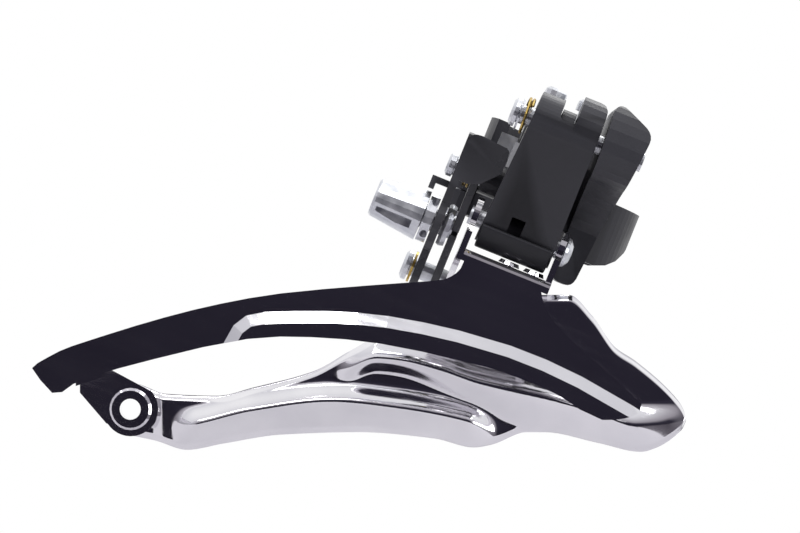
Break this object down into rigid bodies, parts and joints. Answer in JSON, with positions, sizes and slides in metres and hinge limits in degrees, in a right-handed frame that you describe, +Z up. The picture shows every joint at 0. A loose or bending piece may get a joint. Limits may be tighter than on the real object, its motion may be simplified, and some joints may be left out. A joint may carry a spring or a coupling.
{
  "type": "front derailleur",
  "caption": "Seat-tube front derailleur: black clamp and outer link, steel inner link with cable anchor, and a chromed two-plate chain cage on a parallelogram.",
  "frame": {"origin": "centre of the seat-tube clamp, on the tube's axis", "axes": "+Z up the seat tube, +X forwards, -Y outboard"},
  "size_m": [0.13, 0.0842, 0.1019],
  "materials": {
    "chrome": "mirror chrome plating",
    "zinc": "bright zinc plated steel",
    "black_casting": "satin black coated casting",
    "black_steel": "black coated pressed steel",
    "brass_spring": "yellow passivated wire",
    "grey_plastic": "light grey plastic"
  },
  "bodies": {
    "clamp": {"clamp_body": "black_casting", "clamp_band": "black_casting", "clamp_hinge_pin": "zinc", "clamp_bolt": "zinc", "clamp_nut": "zinc", "upper_outer_pin": "zinc", "upper_outer_washer": "zinc", "upper_inner_pin": "zinc", "return_spring": "brass_spring", "inner_spring": "brass_spring", "stop_tab": "zinc", "stop_pad": "grey_plastic", "limit_screw_low": "zinc", "limit_screw_high": "zinc"},
    "outer_link": {"outer_link": "black_casting"},
    "inner_link": {"inner_link": "black_steel", "anchor_bolt": "zinc", "anchor_washer": "zinc", "anchor_nut": "zinc"},
    "cage": {"cage_outer_plate": "chrome", "cage_inner_plate": "chrome", "lower_outer_pin": "zinc", "lower_inner_pin": "zinc", "lower_inner_washer": "brass_spring", "tail_rivet": "chrome", "bridge_rivet_rear": "chrome", "bridge_rivet_front": "chrome"}
  },
  "joints": [
    {"name": "outer_link_swing", "type": "hinge", "parent": "clamp", "child": "outer_link", "pos_m": [0, -0.048, 0.0158], "axis": [-1, 0, 0], "range_deg": [0, 46], "stiffness_Nm_per_rad": 0.2, "springref_deg": -34.38},
    {"name": "cage_swing", "type": "hinge", "parent": "outer_link", "child": "cage", "pos_m": [0, -0.03783, -0.00704], "axis": [-1, 0, 0], "range_deg": [-46, 0]},
    {"name": "inner_link_swing", "type": "hinge", "parent": "clamp", "child": "inner_link", "pos_m": [0, -0.035, 0.0012], "axis": [-1, 0, 0], "range_deg": [0, 46]}
  ],
  "couplings": [
    {"joint": "cage_swing", "follows": "outer_link_swing", "ratio": -1},
    {"joint": "inner_link_swing", "follows": "outer_link_swing", "ratio": 1}
  ]
}
